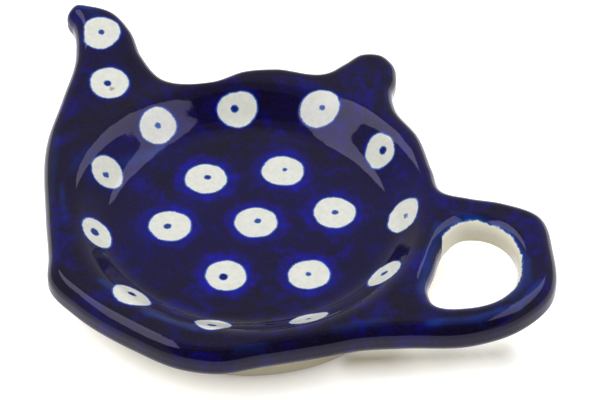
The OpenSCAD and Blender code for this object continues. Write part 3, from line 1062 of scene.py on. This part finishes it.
@dataclass(frozen=True)
class CreamGlaze:
    """Clear glaze over the cream body, wiped off where the foot stands."""

    cream: Colour = (0.78, 0.71, 0.53)
    cream_shade: Colour = (0.68, 0.61, 0.43)
    bare: Colour = (0.50, 0.42, 0.31)
    speck: Colour = (0.20, 0.12, 0.06)
    body: Mottle = Mottle(9 * MM, 4, 0.6, 0.35, 0.75)
    specks: Mottle = Mottle(1.6 * MM, 2, 0.5, 0.74, 0.80)
    speck_share: float = 0.6
    wiped_height: float = 0.7 * MM
    wiped_blur: float = 0.1 * MM
    wiped_ragged: Mottle = Mottle(3 * MM, 3)
    wiped_ragged_width: float = 0.5 * MM
    grain: Mottle = Mottle(0.5 * MM, 3, 0.7)
    grain_share: float = 0.5
    roughness: Pair = (0.12, 0.65)
    waves: Mottle = Mottle(7 * MM, 2, 0.4)
    bump_depth: float = 0.12 * MM

    def material(self) -> bpy.types.Material:
        """Builds the finish: mottled cream, rough and darker below the wiped line."""
        g = Graph("cream_glaze")
        body = g.mix(g.patches(self.body), self.cream, self.cream_shade)
        body = g.mix(g.times(g.patches(self.specks), self.speck_share), body, self.speck)
        height = g.plus(g.axes()[2], g.wander(self.wiped_ragged, self.wiped_ragged_width))
        edge = (self.wiped_height + self.wiped_blur, self.wiped_height - self.wiped_blur)
        bare, grain = g.ease(height, *edge), g.noise(self.grain)
        g.place_all(g.shader, {
            "Base Color": g.mix(bare, body, g.mix(grain, self.bare, self.cream_shade)),
            "Roughness": g.span(bare, *self.roughness),
        })
        grains = g.times(g.times(grain, bare), self.grain_share)
        g.bump(g.plus(g.noise(self.waves), grains), self.bump_depth)
        return g.material


@dataclass(frozen=True)
class Mesher:
    """Numbers of steps in the pieces' grids."""

    roll: int = 12
    side: int = 4
    rung: int = 26
    wall: int = 26
    floor: int = 56
    hole_out: int = 12
    joint: int = 2
    skirt: int = 3
    base: int = 16
    foot_roll: int = 8
    foot_inside: int = 4
    foot_outside: int = 7


@dataclass
class PotParts:
    """Common ground of the sub-assemblies: the surface, the steps and the shared curves.

    On the rolled edge the paint ends at a share of the lower quarter-round. Round the hole's lip
    it ends at an angle from upright, and swings further down on the side that faces the well.
    """

    surface: PotSurface
    steps: Mesher
    paint_share: float = 0.9
    lip_angle: float = math.radians(46)
    lip_swing: float = math.radians(150)
    lip_side: float = math.radians(212)
    lip_near: float = math.radians(26)
    lip_far: float = math.radians(54)
    shape: PotShape = field(init=False)
    roots: list[Root] = field(init=False)
    bands: list[np.ndarray] = field(init=False)

    def __post_init__(self) -> None:
        """Works out the curves at which the pieces meet."""
        f = self.surface
        self.shape = s = f.shape
        self.roots = [s.handle_root, s.knob_root, s.spout_root]
        self.bands = [
            self.band(f.stretch(s.spout_root[1], len(f.marks) + s.handle_root[0])),
            self.band(f.stretch(s.handle_root[1], s.knob_root[0])),
            self.band(f.stretch(s.knob_root[1], s.spout_root[0])),
        ]

    def band(self, places: np.ndarray) -> np.ndarray:
        """Rolled edge over a stretch of the outline.

        Rows run from the upper inner ring out to the outline, down the side and in to the lower
        inner ring. A roll's inset at angle a is its radius times one less cos a.

        Args:
            places: Places on the outline.

        Returns:
            Points, shape (rows, places, 3).
        """
        s, f = self.shape, self.surface
        curve, insets = f.outline[places], f.insets[places]
        depth = (1 - np.cos(quarter_turns(self.steps.roll)))[:, None, None]
        upper = f.over(curve[None] + s.top_roll_r * depth * insets[None], True)
        lower = f.over(curve[None] + s.bottom_roll_r * depth * insets[None], False)
        t = even_shares(self.steps.side)[1:-1, None, None]
        side = between(upper[0], lower[0], t)
        return np.concatenate([upper[::-1], side, lower])

    def band_cover(self) -> np.ndarray:
        """Length along the edge's section above the paint's lower border, for each row."""
        s, steps = self.shape, self.steps
        a = even_shares(steps.roll)
        wall = s.rim_t - s.top_roll_r - s.bottom_roll_r
        quarter = math.pi / 2
        rows = np.concatenate([
            s.top_roll_r * quarter * a[::-1] + wall,
            wall * (1 - even_shares(steps.side)[1:-1]),
            -s.bottom_roll_r * quarter * a,
        ])
        return (rows + s.bottom_roll_r * quarter * self.paint_share)[:, None]

    def rung(self, root: Root, upper: bool) -> np.ndarray:
        """Straight line of points across a limb's root, between the inner rings' two ends."""
        f, step, radius = self.surface, self.shape.span_steps, self.shape.roll_r(upper)
        ends = [f.outline[r * step] + radius * f.insets[r * step] for r in root]
        t = even_shares(self.steps.rung)[:, None]
        return f.over(between(*ends, t), upper)

    def ring_patch(
        self, inner: np.ndarray, outer: np.ndarray, shares: np.ndarray, upper: bool
    ) -> np.ndarray:
        """Grid of surface points on straight plan lines from an inner to an outer closed ring.

        Args:
            inner: Plan points of the inner ring, shape (n, 2).
            outer: Points of the outer ring, shape (n, 3).
            shares: Places along each line from 0 to 1, shape (rows,) or (rows, n).
            upper: Whether the points lie on the upper surface.

        Returns:
            Points, shape (rows, n + 1, 3), with the first column repeated at the end.
        """
        t = shares[:, None, None] if shares.ndim == 1 else shares[..., None]
        grid = self.surface.over(between(inner, outer[:, :2], t), upper)
        grid[-1] = outer
        return np.concatenate([grid, grid[:, :1]], axis=1)

    def rim_ring(self, upper: bool) -> np.ndarray:
        """The rim's inner ring right round, with straight lines across the limbs' roots."""
        row = 0 if upper else -1
        handle, knob, spout = (self.rung(r, upper)[1:-1] for r in self.roots)
        low, right, left = (b[row] for b in self.bands)
        return np.concatenate([low, handle, right, knob, left, spout])

    def limb_cap(self, root: Root) -> np.ndarray:
        """Flat section at a limb's root, as a grid of two rows that meet at its ends.

        Args:
            root: First and last mark of the limb.

        Returns:
            Points, shape (2, n, 3).
        """
        band = self.band(self.surface.stretch(*root))
        upper, lower = self.rung(root, True)[1:-1], self.rung(root, False)[1:-1]
        mid = self.steps.roll + self.steps.side // 2
        over = np.concatenate([band[mid::-1, 0], upper, band[: mid + 1, -1]])
        below = np.concatenate([band[mid:, 0], lower, band[: mid - 1 : -1, -1]])
        return np.stack([over, below])

    def lip_edge(self, xy: np.ndarray) -> np.ndarray:
        """Angle round the hole's lip at which the paint ends, further down on the well's side.

        Args:
            xy: Points near the hole, shape (n, 2).

        Returns:
            Angles from upright, shape (n,).
        """
        way = unit(xy - np.array(self.shape.hole_centre))
        near, far = math.cos(self.lip_near), math.cos(self.lip_far)
        side = np.array([math.cos(self.lip_side), math.sin(self.lip_side)])
        facing = np.clip((way @ side - far) / (near - far), 0, 1)
        return self.lip_angle - self.lip_swing * facing

    def lip_roll(self, points: np.ndarray, radius: float) -> tuple:
        """Where points lie on the hole's rolled edge.

        Args:
            points: Points, shape (..., 3).
            radius: The roll's radius.

        Returns:
            Distances to the hole in plan, angles that the roll has turned there and the angles at
            which the paint ends, each of shape (n,).
        """
        xy = points.reshape(-1, 3)[:, :2]
        gap = distance_to(self.surface.hole, xy)
        return gap, np.arccos(np.clip(1 - gap / radius, -1, 1)), self.lip_edge(xy)

    def top_cover(self, points: np.ndarray) -> np.ndarray:
        """Length of painted surface between points of the top and the hole's bare wall."""
        radius = self.shape.top_roll_r
        gap, turn, edge = self.lip_roll(points, radius)
        along = radius * (turn - edge) + np.maximum(gap - radius, 0)
        return np.minimum(along, PAINT_ALL).reshape(points.shape[:-1])

    def under_cover(self, points: np.ndarray) -> np.ndarray:
        """Length of painted surface left below points of the underside's roll at the hole."""
        s = self.shape
        gap, turn, edge = self.lip_roll(points, s.bottom_roll_r)
        down = s.rim_t - s.top_roll_r - s.bottom_roll_r + s.bottom_roll_r * turn
        cover = -down - s.top_roll_r * edge - np.maximum(gap - s.bottom_roll_r, 0)
        return np.clip(cover, -PAINT_ALL, PAINT_ALL).reshape(points.shape[:-1])

    def limb(self, name: str, root: Root) -> Shell:
        """A limb without a hole: rolled edge, ladders of straight rungs above and below, and root.

        Args:
            name: The piece's name.
            root: First and last mark of the limb.

        Returns:
            The closed piece.
        """
        band = self.band(self.surface.stretch(*root))
        half = band.shape[1] // 2
        across = even_shares(self.steps.rung)[None, :, None]
        patches = [Patch(band, Facing.OUT, tuple(band[0].mean(axis=0)[:2]), self.band_cover())]
        for upper in (True, False):
            ring = band[0 if upper else -1]
            near, far = ring[: half + 1], ring[::-1][: half + 1]
            plan = between(near[:, None, :2], far[:, None, :2], across)
            grid = self.surface.over(plan, upper)
            grid[:, 0], grid[:, -1] = near, far
            grid[0] = self.rung(root, upper)
            grid[0, 0], grid[0, -1] = near[0], far[0]
            cover = np.full(grid.shape[:2], PAINT_ALL) if upper else None
            patches.append(Patch(grid, Facing.of(upper), cover=cover))
        patches.append(Patch(self.limb_cap(root), Facing.IN, hidden=True))
        return Shell(name, patches)

    def spin(self, radii: np.ndarray, heights: np.ndarray, turns: np.ndarray) -> np.ndarray:
        """Profile of radii and heights carried round the axis through the given directions."""
        around = np.stack([np.cos(turns), np.sin(turns)], axis=1)
        grid = np.zeros((len(radii), len(turns), 3))
        grid[..., :2] = radii[:, None, None] * around[None]
        grid[..., 2] = heights[:, None] if heights.ndim == 1 else heights
        return grid

    def turns(self, upper: bool) -> np.ndarray:
        """Directions from the axis to the points of the rim's inner ring, closed."""
        ring = self.rim_ring(upper)
        angles = np.arctan2(ring[:, 1], ring[:, 0])
        return np.concatenate([angles, angles[:1]])

    def rings(self, radii: np.ndarray, upper: bool) -> np.ndarray:
        """Surface points on circles round the axis, in the directions of the rim's inner ring."""
        grid = self.spin(radii, np.zeros_like(radii), self.turns(upper))
        return self.surface.over(grid[..., :2], upper)


@dataclass
class Foot(PotParts):
    """The ring foot that the rest stands on."""

    width: float = 4.4 * MM
    edge_r: float = 1.2 * MM
    inner_fillet_r: float = 1.5 * MM

    def ring(self) -> Shell:
        """Profile of the foot carried round the axis: fillet, rounded edges and upright side."""
        s, steps = self.shape, self.steps
        inner, outer = s.foot_r - self.width, s.foot_r
        a = quarter_turns(steps.foot_roll)
        fillet_r = inner - self.inner_fillet_r * (1 - np.sin(a))
        fillet_z = s.foot_h - self.inner_fillet_r * (1 - np.cos(a))
        fillet_end = s.foot_h - self.inner_fillet_r
        down = np.linspace(fillet_end, self.edge_r, steps.foot_inside + 1)[1:-1]
        up = np.linspace(self.edge_r, s.foot_h, steps.foot_outside + 1)[1:]
        radii = np.concatenate([
            fillet_r, np.full(len(down), inner), inner + self.edge_r * (1 - np.cos(a)),
            outer - self.edge_r * (1 - np.sin(a)), np.full(len(up), outer),
        ])
        heights = np.concatenate([
            fillet_z, down, self.edge_r * (1 - np.sin(a)), self.edge_r * (1 - np.cos(a)), up,
        ])
        turns = self.turns(True)
        top = self.spin(np.array([radii[0], radii[-1]]), np.full(2, s.foot_h), turns)
        return Shell("foot_ring_glazed", [
            FootPatch(self.spin(radii, heights, turns), Facing.DOWN),
            Patch(top, Facing.UP, hidden=True),
        ])


class FootPatch(Patch):
    """The foot's skin, whose standing face shows downwards."""

    def triangles(self) -> np.ndarray:
        """Corner numbers of the triangles, turned so that the standing face looks down."""
        tris = super().triangles()
        p = self.points.reshape(-1, 3)[tris]
        normal = np.cross(p[:, 1] - p[:, 0], p[:, 2] - p[:, 0])
        base = p[..., 2].max(axis=1) < STANDING
        return tris if normal[base, 2].sum() < 0 else tris[:, ::-1]


@dataclass
class Dish(PotParts):
    """The round bowl and the raised rim round it."""

    def bowl(self) -> Shell:
        """Floor and wall out to the foot's radius, as rings round the axis, with a flat base."""
        s, steps = self.shape, self.steps
        turns = self.turns(True)
        top = self.rings(s.foot_r * np.arange(steps.floor + 1) / steps.floor, True)
        low = s.under_z - s.foot_fillet_r
        rows = even_shares(steps.joint)[:, None]
        joint_z = between(top[-1, :, 2], low, rows)
        skirt_z = low + (s.foot_h - low) * np.arange(steps.skirt + 1) / steps.skirt
        inner = s.foot_r - Foot.width - Foot.inner_fillet_r
        base_r = inner * np.arange(steps.base + 1) / steps.base
        joint = self.spin(np.full(len(rows), s.foot_r), joint_z, turns)
        skirt = self.spin(np.full(len(skirt_z), s.foot_r), skirt_z, turns)
        base = self.spin(base_r, np.full(len(base_r), s.foot_h), turns)
        seat = self.spin(np.array([inner, s.foot_r]), np.full(2, s.foot_h), turns)
        return Shell("bowl_glazed", [
            Patch(top, Facing.UP, cover=np.full(top.shape[:2], PAINT_ALL)),
            Patch(joint, Facing.OUT, hidden=True),
            Patch(skirt, Facing.OUT),
            Patch(base, Facing.DOWN),
            Patch(seat, Facing.DOWN, hidden=True),
        ])

    def rim(self) -> Shell:
        """Crest, rolled edges and underside between the bowl and the pot's outline."""
        s = self.shape
        patches = [Patch(band, Facing.OUT, cover=self.band_cover()) for band in self.bands]
        t = even_shares(self.steps.wall)
        edges = []
        for upper in (True, False):
            outer = self.rim_ring(upper)
            shares = t if upper else 1 - np.cos(t * math.pi / 2)
            grid = self.ring_patch(s.foot_r * unit(outer[:, :2]), outer, shares, upper)
            cover = self.top_cover(grid) if upper else None
            grid[0] = self.rings(np.full(1, s.foot_r), upper)[0]
            edges.append(grid[0])
            patches.append(Patch(grid, Facing.of(upper), cover=cover))
        rows = even_shares(self.steps.joint)[:, None, None]
        wall = between(*edges, rows)
        patches.append(Patch(wall, Facing.IN, hidden=True))
        patches += [Patch(self.limb_cap(root), Facing.OUT, hidden=True) for root in self.roots]
        return Shell("rim_glazed", patches)


@dataclass
class Limbs(PotParts):
    """The spout, the lid's knob and the pierced handle."""

    lip_room_share: float = 0.75

    def spout(self) -> Shell:
        """The spout, rising a little to its hooked tip."""
        return self.limb("spout_glazed", self.shape.spout_root)

    def knob(self) -> Shell:
        """The lid's knob."""
        return self.limb("knob_glazed", self.shape.knob_root)

    def handle(self) -> Shell:
        """The loop handle: rings run from the finger hole's edge out to the rolled edge."""
        s, f, steps = self.shape, self.surface, self.steps
        root, centre = s.handle_root, np.array(s.hole_centre)
        band = self.band(f.stretch(*root))
        patches = [Patch(band, Facing.OUT, tuple(centre), self.band_cover())]
        closed = np.concatenate([f.hole, f.hole[:1]])
        hole_turn = np.unwrap(np.arctan2(*(f.hole - centre).T[::-1]))
        closed_turn = np.append(hole_turn, hole_turn[0] + 2 * math.pi)
        turned = 1 - np.cos(quarter_turns(steps.roll))
        more = even_shares(steps.hole_out)[1:, None]
        edges = []
        for upper in (True, False):
            rung = self.rung(root, upper)
            ring = np.concatenate([band[0 if upper else -1], rung[-2:0:-1]])
            turn = np.arctan2(*(ring[:, :2] - centre).T[::-1])
            turn = hole_turn[0] + (turn - hole_turn[0]) % (2 * math.pi)
            edge = np.stack([np.interp(turn, closed_turn, closed[:, k]) for k in (0, 1)], axis=1)
            length = np.linalg.norm(ring[:, :2] - edge, axis=1)
            roll = np.minimum(s.roll_r(upper), self.lip_room_share * length)
            lip = roll[None] * turned[:, None] / length
            shares = np.concatenate([lip, lip[-1:] * (1 - more) + more])
            grid = self.ring_patch(edge, ring, shares, upper)
            edges.append(grid[0])
            cover = self.top_cover(grid) if upper else self.under_cover(grid)
            patches.append(Patch(grid, Facing.of(upper), cover=cover))
        rows = even_shares(steps.side)[:, None, None]
        wall = between(*edges, rows)
        lip = self.lip_edge(wall.reshape(-1, 3)[:, :2]).reshape(wall.shape[:2])
        bare = wall[..., 2] - wall[0, :, 2] - s.top_roll_r * lip
        patches.append(Patch(wall, Facing.IN, tuple(centre), bare))
        patches.append(Patch(self.limb_cap(root), Facing.IN, hidden=True))
        return Shell("handle_glazed", patches)


def make_object(shell: Shell, normals: np.ndarray, fields: dict) -> bpy.types.Object:
    """Puts a welded shell into a mesh object.

    Args:
        shell: The welded shell.
        normals: Normals at the triangles' corners.
        fields: Numbers at the points, by attribute name.

    Returns:
        The object, at the origin.
    """
    mesh = bpy.data.meshes.new(shell.name)
    mesh.vertices.add(len(shell.points))
    mesh.vertices.foreach_set("co", shell.points.astype(np.float32).ravel())
    mesh.loops.add(shell.tris.size)
    mesh.loops.foreach_set("vertex_index", shell.tris.astype(np.int32).ravel())
    mesh.polygons.add(len(shell.tris))
    mesh.polygons.foreach_set("loop_start", np.arange(0, shell.tris.size, 3, dtype=np.int32))
    mesh.update(calc_edges=True)
    mesh.polygons.foreach_set("use_smooth", np.ones(len(shell.tris), bool))
    for name, values in fields.items():
        attribute = mesh.attributes.new(name, "FLOAT", "POINT")
        attribute.data.foreach_set("value", values.astype(np.float32))
    mesh.validate()
    mesh.normals_split_custom_set(normals.reshape(-1, 3).tolist())
    piece = bpy.data.objects.new(shell.name, mesh)
    bpy.context.scene.collection.objects.link(piece)
    return piece


@dataclass(frozen=True)
class Softbox:
    """Area lamp that faces the rest.

    It stands at degrees from the camera's side and above the table, its distance and size are in
    metres, a level of 1 is a face that renders as white, and it is rolled about its own axis.
    """

    name: str
    turn: float
    height: float
    distance: float
    size: Pair
    level: float
    roll: float = 0.0
    mirrored: bool = True

    def build(self, way: Vector) -> None:
        """Sets up the lamp.

        Args:
            way: Unit vector from the rest to the lamp.
        """
        data = bpy.data.lights.new(self.name, "AREA")
        data.shape = "RECTANGLE"
        data.size, data.size_y = self.size
        data.energy = self.level * math.pi * self.size[0] * self.size[1]
        lamp = bpy.data.objects.new(self.name, data)
        lamp.location = way * self.distance
        lamp.rotation_mode = "QUATERNION"
        level_turn = (-way).to_track_quat("-Z", "Y")
        lamp.rotation_quaternion = level_turn @ Quaternion((0, 0, 1), math.radians(self.roll))
        lamp.visible_glossy = self.mirrored
        bpy.context.scene.collection.objects.link(lamp)


@dataclass(frozen=True)
class Studio:
    """Camera, floor, world and lamps.

    Lengths are in metres, the camera's scale is in pixels to a millimetre at the well's axis, and
    a fade in the room is the two angles, in degrees from its middle, between which it happens.
    """

    azimuth: float = 33.5
    elevation: float = 44.5
    distance: float = 1.2
    scale: float = 4.86
    image: tuple = (600, 400)
    axis_pixel: Pair = (250.0, 259.4)
    sensor: float = 36.0
    clip: Pair = (0.05, 20)
    floor_colour: Colour = (0.80, 0.79, 0.775)
    floor_shade_share: float = 0.985
    floor_mottle: Mottle = Mottle(0.4)
    floor_roughness: float = 0.9
    floor_fine_rings: int = 120
    floor_wide_rings: tuple = (0.2, 0.5, 1.0, 2.5)
    floor_turns: int = 180
    # The glow is held back near the foot and under the handle's arm: a painted shadow of the rest.
    floor_glow: float = 0.66
    painted_shadow_glow_share: float = 0.36
    foot_shade_r: float = 33.6 * MM
    arm_shade: tuple = ((32.7, -13.2), (57.5, 4.9))
    shade_reach: float = 6.0 * MM
    room_level: float = 0.54
    camera_side: Pair = (2, 40)
    camera_side_fade: Pair = (48, 36)
    camera_side_share: float = 0.10
    overhead_fade: Pair = (28, 12)
    overhead_share: float = 0.5
    lamps: tuple = (
        Softbox("lamp_left", -106, 61.7, 1.0, (1.10, 0.41), 3.2),
        Softbox("lamp_right", 113, 58.4, 1.0, (1.00, 0.43), 2.6, roll=-9),
        Softbox("lamp_front", 8, 50, 1.15, (1.0, 0.6), 1.7, mirrored=False),
    )

    def way(self, turn: float, height: float) -> Vector:
        """Unit vector to a place in the room.

        Args:
            turn: Degrees from the camera's side, towards its right.
            height: Elevation in degrees.

        Returns:
            The direction from the rest.
        """
        a, e = math.radians(self.azimuth + turn), math.radians(height)
        return Vector((math.sin(a) * math.cos(e), -math.cos(a) * math.cos(e), math.sin(e)))

    def camera(self) -> None:
        """Long lens that shows so many pixels to a millimetre at the well's axis.

        The camera stands on the line of sight to the axis and is turned until the axis lands on
        its pixel, so no shift is needed.
        """
        back, right = self.way(0, self.elevation), self.way(90, 0)
        data = bpy.data.cameras.new("camera")
        data.sensor_width = self.sensor
        field_width = self.image[0] / self.scale * MM
        data.lens = self.sensor * self.distance / field_width
        data.clip_start, data.clip_end = self.clip
        cam = bpy.data.objects.new("camera", data)
        bpy.context.scene.collection.objects.link(cam)
        cam.location = back * self.distance
        across = (self.image[0] / 2 - self.axis_pixel[0]) / self.scale * MM
        rise = (self.axis_pixel[1] - self.image[1] / 2) / self.scale * MM
        aim = right * across + back.cross(right) * rise
        cam.rotation_mode = "QUATERNION"
        cam.rotation_quaternion = (aim - cam.location).to_track_quat("-Z", "Y")
        bpy.context.scene.camera = cam

    def glow_share_with_painted_shadow(self, xy: np.ndarray) -> np.ndarray:
        """Share of the floor's glow: full in the open, little at the foot and under the handle.

        Holding the glow back there paints the rest's shadow on the floor.

        Args:
            xy: Places on the floor, shape (n, 2).

        Returns:
            Shares from 0 to 1, shape (n,).
        """
        start, end = np.array(self.arm_shade) * MM
        from_arm = line_gap(xy, start, end - start)
        from_foot = np.linalg.norm(xy, axis=1) - self.foot_shade_r
        by_foot = self.painted_shadow_glow_share + (1 - self.painted_shadow_glow_share) * from_foot / self.shade_reach
        return np.clip(np.minimum(by_foot, from_arm / self.shade_reach), 0, 1)

    def paper(self) -> bpy.types.Material:
        """The floor's finish: pale and matt, a little brighter to the eye than to the light.

        The glow is weaker near the rest's foot and under its handle, which is a painted shadow.
        """
        g = Graph("paper")
        shade = tuple(self.floor_shade_share * c for c in self.floor_colour)
        path = g.new("ShaderNodeLightPath").outputs
        seen = g.most(path["Is Camera Ray"], path["Is Glossy Ray"])
        seen = g.most(seen, path["Is Transmission Ray"])
        glow = g.times(g.attribute("glow"), self.floor_glow)
        g.place_all(g.shader, {
            "Base Color": g.mix(g.noise(self.floor_mottle), self.floor_colour, shade),
            "Roughness": self.floor_roughness,
            "Specular IOR Level": 0.0,
            "Emission Color": (1, 1, 1),
            "Emission Strength": g.times(seen, glow),
        })
        return g.material

    def floor(self) -> None:
        """Flat round sheet that the rest stands on, finely divided near the rest."""
        radii = np.concatenate([np.arange(self.floor_fine_rings + 1) * MM, self.floor_wide_rings])
        turns = np.radians(np.arange(self.floor_turns + 1) * (360 / self.floor_turns))
        grid = np.zeros((len(radii), len(turns), 3))
        grid[..., 0], grid[..., 1] = np.outer(radii, np.cos(turns)), np.outer(radii, np.sin(turns))
        shell = Shell("floor", [Patch(grid, Facing.UP)])
        shell.weld()
        normals = np.broadcast_to((0.0, 0.0, 1.0), shell.tris.shape + (3,))
        # The glow's share at each point of the floor paints the rest's shadow near it.
        sheet = make_object(shell, normals, {"glow": self.glow_share_with_painted_shadow(shell.points[:, :2])})
        sheet.data.materials.append(self.paper())

    def world(self) -> None:
        """Pale room, dark on the camera's side and dimmer overhead."""
        world = bpy.data.worlds.new("studio")
        world.use_nodes = True
        g = Nodes(world.node_tree)
        sky = g.new("ShaderNodeTexCoord").outputs["Generated"]
        fades = []
        for centre, fade, share in (
            (self.way(*self.camera_side), self.camera_side_fade, self.camera_side_share),
            (Vector((0, 0, 1)), self.overhead_fade, self.overhead_share),
        ):
            dot = g.new("ShaderNodeVectorMath", operation="DOT_PRODUCT")
            g.link(sky, dot.inputs[0])
            dot.inputs[1].default_value = centre
            wide, narrow = (math.cos(math.radians(angle)) for angle in fade)
            fades.append(g.ease(dot.outputs["Value"], wide, narrow, (1.0, share)))
        room = g.new("ShaderNodeBackground")
        level = g.times(g.times(*fades), self.room_level)
        g.place_all(room, {"Color": (1, 1, 1), "Strength": level})
        g.link(room.outputs[0], g.new("ShaderNodeOutputWorld").inputs["Surface"])
        bpy.context.scene.world = world

    def build(self) -> None:
        """Sets up the whole studio."""
        self.camera()
        self.floor()
        self.world()
        for lamp in self.lamps:
            lamp.build(self.way(lamp.turn, lamp.height))
        bpy.context.scene.view_settings.view_transform = "Standard"


def main() -> None:
    """Builds the rest's pieces, dresses them and sets up the studio."""
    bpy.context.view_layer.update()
    surface = PotSurface(PotShape())
    steps = Mesher()
    dish, limbs, foot = (kind(surface, steps) for kind in (Dish, Limbs, Foot))
    built = [
        (dish.bowl(), "bowl", Coat.PAINTED),
        (dish.rim(), "rim", Coat.PAINTED),
        (limbs.spout(), "spout", Coat.PAINTED),
        (limbs.knob(), "knob", Coat.PAINTED),
        (limbs.handle(), "handle", Coat.PAINTED),
        (foot.ring(), "foot_ring", Coat.CLEAR),
    ]
    finishes = {Coat.PAINTED: PaintedGlaze().material(), Coat.CLEAR: CreamGlaze().material()}
    shells = [shell for shell, _, _ in built]
    for shell in shells:
        shell.weld()
    pattern = DabPattern()
    for (shell, node, coat), normals in zip(built, shared_normals(shells)):
        fields = pattern.fields(shell.points, surface)
        for name in ("dab", "eye", "halo"):
            fields[name][shell.cover < 0] = pattern.reach
        fields["cover"], fields["edge"] = shell.cover, surface.edge_gap(shell.points[:, :2])
        piece = make_object(shell, normals, fields)
        piece.data.materials.append(finishes[coat])
        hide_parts(node)
        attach(piece, "root")
        log.info("%s replaces %s", piece.name, node)
    Studio().build()


if __name__ == "__main__":
    main()
